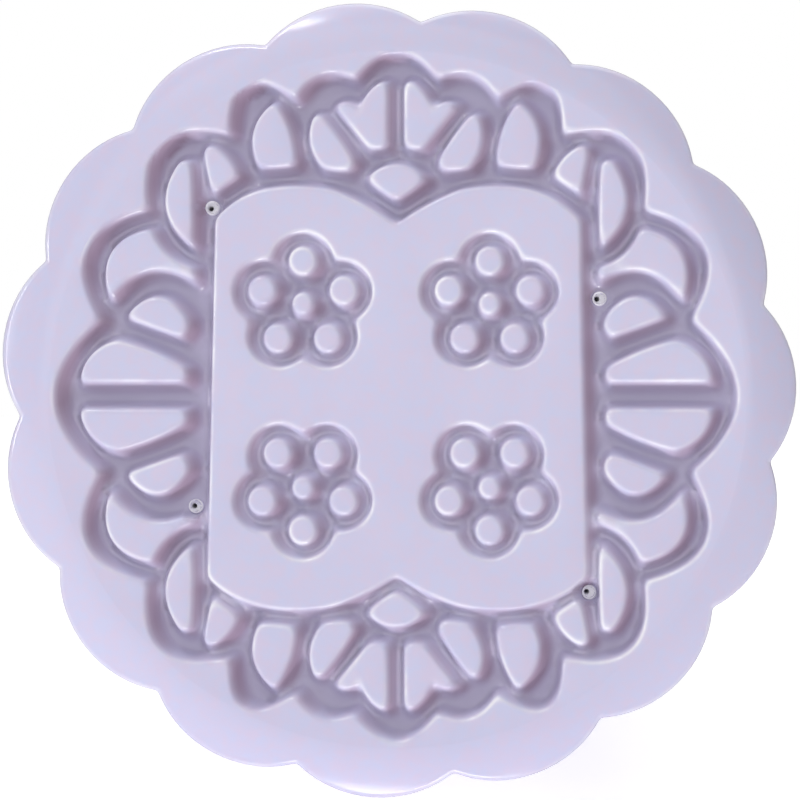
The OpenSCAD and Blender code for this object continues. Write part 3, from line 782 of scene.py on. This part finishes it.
def plunger_foot(material):
    """Disc and boss with the groove of the grip ring and the countersunk hole of the foot screw."""
    ring_low, ring_high = stations("plate_grip_ring")
    ring_bed = radius_of("plate_grip_ring") - (ring_high - ring_low)
    disc_y = FOOT_Y + BOSS_H
    hole_r, head_r, head_h = 2.05, 4.05, 2.2
    corners = [
        (hole_r, FOOT_BACK_Y), (FOOT_R, FOOT_BACK_Y, 0.9), (FOOT_R, disc_y, 0.5), (BOSS_R, disc_y, 0.2),
        (BOSS_R, ring_high, 0.1), (ring_bed, ring_high, 0.1), (ring_bed, ring_low, 0.1),
        (BOSS_R, ring_low, 0.1), (BOSS_R, FOOT_Y, 0.7), (head_r, FOOT_Y, 0.1),
        (hole_r, FOOT_Y + head_h, 0.1),
    ]
    turned("plunger_foot_turned", corners, material, "plunger", "plunger_foot")


def plunger_rod(material):
    """Keyed rod: a circle whose radius drops to floor / sin(angle) across the slot, which ends short of
    both ends."""
    low, high = stations("plunger_rod")
    slot_low, slot_high = stations("foot_buffer")[1] + 1, HANDLE_Y - 1
    half_w, floor, soft = 1.5, ROD_R - 1.2, 0.5
    half_angle = math.asin(half_w / ROD_R)
    across = np.linspace(math.pi / 2 - half_angle, math.pi / 2 + half_angle, 7)
    around = np.linspace(math.pi / 2 + half_angle, math.pi * 2.5 - half_angle, 121)
    angles = np.concatenate([around, across])
    plain = np.full(len(angles), ROD_R)
    cut = np.concatenate([np.full(len(around), ROD_R), floor / np.sin(across)])
    rows = [
        (plain - soft, low), (plain, low + soft), (plain, slot_low), (cut, slot_low),
        (cut, slot_high), (plain, slot_high), (plain, high - soft), (plain - soft, high),
    ]
    radii, y = zip(*rows)
    points, faces = skin(round_the_axis(np.array(radii), y, angles), False)
    mesh = mesh_of("plunger_rod_keyed", points, faces)
    even_shading(place("plunger_rod_keyed", mesh, material, "plunger", "plunger_rod"))


def handle(material):
    """Finger-lobed handle with its skirt, and behind the palm cap the pocket, bolt well and rod socket."""
    wall_r, socket_r, skirt_r, hollow_r = PALM_R + 0.05, ROD_R + 0.05, 20, 22
    web_r, well_r, bolt_r = 15, 6, 2.7
    pocket_y, hollow_y = HANDLE_TOP_Y - 3, HANDLE_Y + 7
    rod_end, bolt_seat = HANDLE_Y + 9, HANDLE_Y + 12
    corners = [
        (socket_r, HANDLE_Y, 0.3), (skirt_r - 2, HANDLE_Y, 0.8), (skirt_r, HANDLE_Y + 3, 0.8),
        (HANDLE_TIP_R, HANDLE_Y + 3, 6.5, 1), (HANDLE_TIP_R, HANDLE_TOP_Y, 5, 1),
        (wall_r + 0.5, HANDLE_TOP_Y, 0.2), (wall_r, HANDLE_TOP_Y - 0.6, 0.2), (wall_r, pocket_y, 0.2),
        (hollow_r, pocket_y, 0.3), (hollow_r, hollow_y, 0.6), (web_r, hollow_y, 0.6),
        (web_r, pocket_y, 0.3), (well_r, pocket_y, 0.2), (well_r, bolt_seat, 0.2),
        (bolt_r, bolt_seat, 0.1), (bolt_r, rod_end, 0.1), (socket_r, rod_end, 0.1),
    ]
    turned("handle_grip", corners, material, "plunger", "handle_body", fingered,
           FINGER_ANGLES)


def palm_cap(material):
    """Crowned cap with a shallow ring round its middle."""
    low, high = stations("palm_cap")
    middle_r, ring_r, ring_y = 0.6, 18.3, high - 0.3
    corners = [
        (middle_r, low), (PALM_R, low, 0.3), (PALM_R, low + 3.8, 1.6), (PALM_R - 3, high, 3.2),
        (ring_r, high, 0.15), (ring_r - 0.3, ring_y, 0.15), (ring_r - 0.9, ring_y, 0.15),
        (ring_r - 1.2, high, 0.15), (middle_r, high),
    ]
    turned("palm_cap_crown", corners, material, "plunger", "palm_cap", closed=False)


def grown(rate, t):
    """A rate summed along t, from 0."""
    return np.concatenate([[0], np.cumsum((rate[1:] + rate[:-1]) / 2 * np.diff(t))])


def wound_spring(material):
    """Compression spring: round wire along a coil that closes to touching turns at both ends. Its height
    grows by the local pitch, whose rise from closed to open turns is a smooth step."""
    wire_r, mean_r, closed_turns, open_turns = 0.9, 15, 1, 7
    steps_per_turn, steps_round_wire, opening_turns = 48, 14, 0.6
    turns = open_turns + 2 * closed_turns
    t = np.linspace(0, turns, turns * steps_per_turn + 1)
    opening = smooth_step(np.minimum(t - closed_turns, turns - closed_turns - t) / opening_turns)
    length = SPRING_TO - SPRING_FROM - 2 * wire_r
    touching = 2 * wire_r + 0.02
    rise = grown(touching + opening * (length - touching * turns) / grown(opening, t)[-1], t)
    a = 2 * math.pi * t
    radial = np.stack([np.cos(a), 0 * a, np.sin(a)], 1)
    centre = upright(polar(mean_r, a), SPRING_FROM + wire_r + rise)
    tangent = np.gradient(centre, axis=0)
    tangent /= np.linalg.norm(tangent, axis=1)[:, None]
    binormal = np.cross(tangent, radial)
    around = np.linspace(0, 2 * math.pi, steps_round_wire + 1)[:-1, None]
    section = np.cos(around) * radial[:, None] + np.sin(around) * binormal[:, None]
    points, faces = skin(centre[:, None] + wire_r * section, False)
    mesh = mesh_of("return_spring_coil", points, faces, crease=60)
    piece = place("return_spring_coil", mesh, material, None, "return_spring")
    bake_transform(piece)


def washer_ring(name, node, inner_r, soft, material, body):
    """Ring of rectangular section with softened corners, as long and as wide as its CAD node."""
    low, high = stations(node)
    outer_r = radius_of(node)
    corners = [(inner_r, low, soft), (outer_r, low, soft), (outer_r, high, soft), (inner_r, high, soft)]
    turned(name, corners, material, body, node)


# Materials


def feed(tree, node, values):
    """Sets a node's inputs to values, or links them to other nodes' sockets."""
    for name, value in values.items():
        if isinstance(value, bpy.types.NodeSocket):
            tree.links.new(value, node.inputs[name])
        else:
            node.inputs[name].default_value = value


def add(tree, kind, values=None, **settings):
    """A shader node with its settings and its inputs."""
    made = tree.nodes.new("ShaderNode" + kind)
    for name, value in settings.items():
        setattr(made, name, value)
    feed(tree, made, values or {})
    return made


def math_node(tree, operation, *values):
    """The result of an operation on numbers or sockets."""
    return add(tree, "Math", dict(enumerate(values)), operation=operation).outputs[0]


def scaled(tree, value, factor):
    """A value times a factor."""
    return math_node(tree, "MULTIPLY", value, factor)


def ranged(tree, value, low, high):
    """A value from 0 to 1 taken to a range."""
    return add(tree, "MapRange", {"Value": value, "To Min": low, "To Max": high}).outputs["Result"]


def own_point(tree):
    """The shaded point in the object's own frame."""
    return add(tree, "TexCoord").outputs["Object"]


def attribute(tree, label):
    """A value stored in the mesh."""
    return add(tree, "Attribute", attribute_name=label).outputs["Fac"]


def new_group(name, inputs, outputs):
    """A shader node group with named inputs, given with their first values, and named outputs."""
    tree = bpy.data.node_groups.new(name, "ShaderNodeTree")
    for label, value in inputs.items():
        made = tree.interface.new_socket(label, in_out="INPUT", socket_type="NodeSocketFloat")
        made.default_value = value
    for label in outputs:
        tree.interface.new_socket(label, in_out="OUTPUT", socket_type="NodeSocketFloat")
    return tree, tree.nodes.new("NodeGroupInput").outputs, tree.nodes.new("NodeGroupOutput").inputs


def mottle_group():
    """Soft clouds, as in moulded plastic, and a fine unevenness of the surface."""
    tree, given, out = new_group("soft mottle", {"Scale": 60.0}, ["Cloud", "Grain"])
    at = own_point(tree)
    coarse = {"Scale": given["Scale"], "Detail": 3.0, "Roughness": 0.55}
    fine = {"Scale": scaled(tree, given["Scale"], 14.0), "Detail": 2.0}
    for label, look in (("Cloud", coarse), ("Grain", fine)):
        tree.links.new(add(tree, "TexNoise", {"Vector": at, **look}).outputs["Fac"], out[label])
    return tree


def picked_cells(tree, at, given, channel):
    """The distance to the middle of each random cell, and 1 in the share of cells that is kept."""
    cells = add(tree, "TexVoronoi", {"Vector": at, "Scale": given["Scale"]})
    pick = add(tree, "SeparateColor", {"Color": cells.outputs["Color"]}).outputs[channel]
    return cells.outputs["Distance"], math_node(tree, "LESS_THAN", pick, given["Share"])


def hairline_group():
    """Short fine scratches in three directions: cells stretched into streaks, with only some kept."""
    tree, given, out = new_group("hairlines", {"Scale": 130.0, "Share": 0.2}, ["Mask"])
    at = own_point(tree)
    width = {"From Min": 0.02, "From Max": 0.05, "To Min": 1.0, "To Max": 0.0}
    total = None
    for turn, stretch in ((0.45, 0.05), (-0.9, 0.04), (1.9, 0.07)):
        lie = {"Vector": at, "Rotation": (0.2, turn, 0.1), "Scale": (stretch, 1.0, 1.0)}
        away, kept = picked_cells(tree, add(tree, "Mapping", lie).outputs[0], given, "Red")
        thin = add(tree, "MapRange", {"Value": away, **width}).outputs["Result"]
        streak = scaled(tree, kept, thin)
        total = streak if total is None else math_node(tree, "MAXIMUM", total, streak)
    tree.links.new(total, out["Mask"])
    return tree


def speck_group():
    """Small specks, such as dust: the middles of a few cells."""
    tree, given, out = new_group("specks", {"Scale": 400.0, "Share": 0.03, "Size": 0.12}, ["Mask"])
    away, kept = picked_cells(tree, own_point(tree), given, "Green")
    dot = math_node(tree, "LESS_THAN", away, given["Size"])
    tree.links.new(scaled(tree, kept, dot), out["Mask"])
    return tree


def wear_and_highlight_group():
    """Pale edges: the piece's own edge attribute, broken up by noise. On softened corners this is rubbed
    wear; on the plate's face it also holds a painted highlight line along the grooves and the vents' painted
    white.
    """
    tree, given, out = new_group("worn edge", {"Scale": 220.0, "Amount": 0.6}, ["Mask"])
    noise = {"Vector": own_point(tree), "Scale": given["Scale"], "Detail": 4.0}
    patchy = add(tree, "TexNoise", noise).outputs["Fac"]
    rubbed = add(tree, "MapRange", {"Value": patchy, "From Min": 0.35, "From Max": 0.7}).outputs["Result"]
    total = scaled(tree, scaled(tree, attribute(tree, "edge"), rubbed), given["Amount"])
    tree.links.new(total, out["Mask"])
    return tree


MOTTLE = mottle_group()
HAIRLINES = hairline_group()
SPECKS = speck_group()
WEAR_AND_HIGHLIGHT_EDGE = wear_and_highlight_group()


def use(tree, group, **values):
    """An effect placed in a material with the material's own values."""
    made = tree.nodes.new("ShaderNodeGroup")
    made.node_tree = group
    feed(tree, made, values)
    return made.outputs


def blended(tree, share, first, second):
    """Two colours blended by a share."""
    mix = add(tree, "Mix", data_type="RGBA")
    feed(tree, mix, {0: share, 6: first, 7: second})
    return mix.outputs[2]


def new_material(name):
    """A material with its node tree and its shader."""
    made = bpy.data.materials.new(name)
    made.use_nodes = True
    return made, made.node_tree, made.node_tree.nodes["Principled BSDF"]


def finish_surface(tree, shader, colour, roughness, height, strength, distance):
    """Gives a shader its colour and roughness, and raises its surface by a height."""
    raised = add(tree, "Bump", {"Height": height, "Strength": strength, "Distance": distance})
    surface = {"Base Color": colour, "Roughness": roughness, "Normal": raised.outputs["Normal"]}
    feed(tree, shader, surface)


LAVENDER = (0.655, 0.63, 0.835, 1)
LAVENDER_DEEP = (0.615, 0.58, 0.785, 1)
LAVENDER_WARM = (0.71, 0.60, 0.77, 1)
LAVENDER_COOL = (0.60, 0.64, 0.86, 1)
# Pale colour of worn edges and hairlines, and of the painted highlight lines and vents.
LAVENDER_WEAR_AND_HIGHLIGHT = (0.91, 0.90, 0.95, 1)
# Painted shade in the grooves, and on their right- and down-facing walls.
GROOVE_PAINTED_SHADE = (0.49, 0.45, 0.62, 1)
WALL_PAINTED_SHADE = (0.36, 0.25, 0.34, 1)
SPECK_BROWN = (0.16, 0.10, 0.13, 1)


def lavender_plastic():
    """Glossy moulded plastic with faint clouds, hairlines and specks, painted shade in the grooves, and
    paler edges from wear and painted highlight.
    """
    made, tree, shader = new_material("lavender_plastic_gloss")
    mottle = use(tree, MOTTLE, Scale=70.0)
    lines = use(tree, HAIRLINES, Scale=150.0, Share=0.10)["Mask"]
    specks = use(tree, SPECKS, Scale=420.0, Share=0.02, Size=0.06)["Mask"]
    wear_and_highlight = use(tree, WEAR_AND_HIGHLIGHT_EDGE, Scale=260.0, Amount=0.5)["Mask"]
    colour = blended(tree, ranged(tree, mottle["Cloud"], 0.1, 0.9), LAVENDER, LAVENDER_DEEP)
    hue = blended(tree, ranged(tree, mottle["Grain"], -0.8, 1.8), LAVENDER_COOL, LAVENDER_WARM)
    colour = blended(tree, 0.45, colour, hue)
    # Painted shade, darker the deeper a point lies in the grooves.
    colour = blended(tree, attribute(tree, "sunk"), colour, GROOVE_PAINTED_SHADE)
    # Painted shade on the grooves' right- and down-facing walls.
    colour = blended(tree, attribute(tree, "painted_wall_shade"), colour, WALL_PAINTED_SHADE)
    # Paler edges: rubbed wear, and on the plate painted highlight lines and the vents' painted white.
    colour = blended(tree, wear_and_highlight, colour, LAVENDER_WEAR_AND_HIGHLIGHT)
    colour = blended(tree, scaled(tree, lines, 0.4), colour, LAVENDER_WEAR_AND_HIGHLIGHT)
    colour = blended(tree, scaled(tree, specks, 0.7), colour, SPECK_BROWN)
    rough = math_node(tree, "ADD", ranged(tree, mottle["Cloud"], 0.12, 0.2), scaled(tree, lines, 0.2))
    height = math_node(tree, "SUBTRACT", mottle["Grain"], scaled(tree, lines, 0.6))
    finish_surface(tree, shader, colour, rough, height, strength=0.25, distance=0.00002)
    shader.inputs["IOR"].default_value = 1.5
    return made


def steel(name, colour, roughness):
    """Plated metal with soft clouds in its polish, hairlines and specks."""
    made, tree, shader = new_material(name)
    mottle = use(tree, MOTTLE, Scale=300.0)
    lines = use(tree, HAIRLINES, Scale=700.0, Share=0.35)["Mask"]
    specks = use(tree, SPECKS, Scale=900.0, Share=0.03, Size=0.15)["Mask"]
    darker = tuple(0.72 * c for c in colour[:3]) + (1,)
    tint = blended(tree, mottle["Cloud"], colour, darker)
    tint = blended(tree, scaled(tree, specks, 0.6), tint, (0.12, 0.08, 0.05, 1))
    dull = ranged(tree, mottle["Cloud"], roughness, roughness + 0.16)
    rough = math_node(tree, "ADD", dull, scaled(tree, lines, 0.15))
    height = math_node(tree, "ADD", mottle["Grain"], lines)
    finish_surface(tree, shader, tint, rough, height, strength=0.2, distance=0.00001)
    shader.inputs["Metallic"].default_value = 1.0
    return made


def rubber():
    """Matt black rubber with a fine grain, dust and paler rubbed edges."""
    made, tree, shader = new_material("rubber_matt")
    mottle = use(tree, MOTTLE, Scale=260.0)
    specks = use(tree, SPECKS, Scale=800.0, Share=0.08, Size=0.16)["Mask"]
    wear_and_highlight = use(tree, WEAR_AND_HIGHLIGHT_EDGE, Scale=500.0, Amount=0.5)["Mask"]
    colour = blended(tree, mottle["Cloud"], (0.020, 0.020, 0.022, 1), (0.036, 0.035, 0.036, 1))
    colour = blended(tree, wear_and_highlight, colour, (0.075, 0.073, 0.072, 1))
    colour = blended(tree, scaled(tree, specks, 0.35), colour, (0.25, 0.24, 0.23, 1))
    rough = ranged(tree, mottle["Cloud"], 0.62, 0.82)
    finish_surface(tree, shader, colour, rough, mottle["Grain"], strength=0.6, distance=0.00003)
    return made


def nylon():
    """White nylon, a little waxy, with faint clouds and tool lines."""
    made, tree, shader = new_material("nylon_white")
    mottle = use(tree, MOTTLE, Scale=180.0)
    lines = use(tree, HAIRLINES, Scale=420.0, Share=0.2)["Mask"]
    wear_and_highlight = use(tree, WEAR_AND_HIGHLIGHT_EDGE, Scale=400.0, Amount=0.4)["Mask"]
    colour = blended(tree, mottle["Cloud"], (0.74, 0.735, 0.70, 1), (0.66, 0.655, 0.62, 1))
    colour = blended(tree, wear_and_highlight, colour, (0.80, 0.80, 0.78, 1))
    rough = math_node(tree, "ADD", ranged(tree, mottle["Cloud"], 0.38, 0.52), scaled(tree, lines, 0.2))
    height = math_node(tree, "SUBTRACT", mottle["Grain"], lines)
    finish_surface(tree, shader, colour, rough, height, strength=0.3, distance=0.00002)
    return made


def refinish(names, finish):
    """Gives CAD nodes whose shape is kept a better material."""
    for name in names:
        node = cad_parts[name]
        if not node.material_slots:
            node.data.materials.append(finish)
        for held in node.material_slots:
            held.material = finish


PLASTIC = lavender_plastic()
STEEL = steel("steel_plated", (0.62, 0.62, 0.63, 1), 0.22)
BRASS = steel("brass_turned", (0.72, 0.52, 0.24, 1), 0.26)
RUBBER = rubber()
NYLON = nylon()

stamp_plate(PLASTIC)
barrel(PLASTIC)
barrel_cap(PLASTIC)
plunger_foot(PLASTIC)
plunger_rod(PLASTIC)
handle(PLASTIC)
palm_cap(PLASTIC)
wound_spring(STEEL)
for node, body in (("lower_spring_washer", "barrel"), ("upper_spring_washer", "plunger")):
    washer_ring(node + "_ring", node, COLLAR_R + 0.1, 0.15, STEEL, body)
washer_ring("stop_sleeve_tube", "stop_sleeve", ROD_R + 0.05, 0.3, NYLON, "plunger")
washer_ring("bumper_ring_tube", "bumper_ring", ROD_R + 0.05, 0.3, RUBBER, "plunger")
washer_ring("foot_buffer_tube", "foot_buffer", ROD_R + 0.05, 0.5, RUBBER, "plunger")
refinish(["cap_screws", "foot_screw", "detent_clip", "handle_washer", "handle_bolt"], STEEL)
refinish(["rod_inserts"], BRASS)
refinish(["plate_grip_ring"], RUBBER)
refinish(["guide_bush"], NYLON)


# Stage

WHITE = (1, 1, 1, 1)
RIM_SEEN_R = 29


def floor():
    """Plain pale floor that goes over to white further away, in a glow that only the camera sees."""
    mesh = bpy.data.meshes.new("studio_floor")
    reach = 3.0
    corners = [(-reach, -reach, 0), (reach, -reach, 0), (reach, reach, 0), (-reach, reach, 0)]
    mesh.from_pydata(corners, [], [(0, 1, 2, 3)])
    made, tree, shader = new_material("floor_pale")
    cloud = use(tree, MOTTLE, Scale=4.0)["Cloud"]
    colour = blended(tree, cloud, (0.90, 0.90, 0.90, 1), (0.86, 0.86, 0.86, 1))
    away = add(tree, "VectorMath", {0: own_point(tree)}, operation="LENGTH").outputs["Value"]
    fade = {"From Min": 0.15, "From Max": 0.8, "To Min": 0.6, "To Max": 0.95}
    glow = add(tree, "MapRange", {"Value": away, **fade}).outputs["Result"]
    seen = scaled(tree, add(tree, "LightPath").outputs["Is Camera Ray"], glow)
    glowing = {"Emission Color": WHITE, "Emission Strength": seen}
    feed(tree, shader, {"Base Color": colour, "Roughness": 0.85, **glowing})
    mesh.materials.append(made)
    piece = bpy.data.objects.new("studio_floor", mesh)
    bpy.context.scene.collection.objects.link(piece)
    piece.visible_shadow = False


def softbox(name, place_at, aim, width, height, power):
    """Rectangular area light at a point, aimed at another. Lengths are in millimetres."""
    light = bpy.data.lights.new(name, "AREA")
    light.shape = "RECTANGLE"
    light.size, light.size_y = width * MM, height * MM
    light.energy = power
    lamp = bpy.data.objects.new(name, light)
    lamp.location = Vector(place_at) * MM
    lamp.rotation_mode = "QUATERNION"
    lamp.rotation_quaternion = (Vector(aim) - Vector(place_at)).to_track_quat("-Z", "Y")
    bpy.context.scene.collection.objects.link(lamp)


def white_surroundings(light, seen):
    """A white world whose light on the press is dimmer than the white that the camera sees."""
    world = bpy.data.worlds.new("white_room")
    bpy.context.scene.world = world
    world.use_nodes = True
    tree = world.node_tree
    ray = add(tree, "LightPath").outputs["Is Camera Ray"]
    whites = [add(tree, "Background", {"Color": WHITE, "Strength": s}).outputs[0] for s in (light, seen)]
    mixed = add(tree, "MixShader", {0: ray, 1: whites[0], 2: whites[1]}).outputs[0]
    tree.links.new(mixed, tree.nodes["World Output"].inputs["Surface"])
    tree.nodes.remove(tree.nodes["Background"])


def camera(distance, half_frame, aim_x, aim_z):
    """Looks along the press axis at the face, with half_frame showing beside its middle at the rim."""
    data = bpy.data.cameras.new("camera")
    data.lens = data.sensor_width / 2 * (distance + rim_fall(RIM_SEEN_R)) / half_frame
    data.clip_start = 0.005
    eye = bpy.data.objects.new("camera", data)
    eye.location = Vector((aim_x, FACE_Y - distance, AXIS_Z + aim_z)) * MM
    eye.rotation_euler = (math.pi / 2, 0, 0)
    bpy.context.scene.collection.objects.link(eye)
    bpy.context.scene.camera = eye


floor()
white_surroundings(light=0.2, seen=1.0)
FACE = (0, FACE_Y, AXIS_Z)
softbox("key_softbox", (-20, FACE_Y - 560, AXIS_Z + 230), FACE, width=900, height=900, power=2.08)
softbox("left_strip", (-480, FACE_Y - 100, AXIS_Z + 60), FACE, width=30, height=220, power=0.5)
softbox("low_strip", (20, FACE_Y - 110, -420), FACE, width=240, height=60, power=0.95)
softbox("high_strip", (-160, FACE_Y - 100, AXIS_Z + 440), FACE, width=220, height=30, power=0.45)
softbox("top_softbox", (0, 60, 700), (0, 40, 0), width=900, height=700, power=2.4)
camera(distance=132, half_frame=30.95, aim_x=0.18, aim_z=-0.05)
bpy.context.scene.view_settings.view_transform = "Standard"
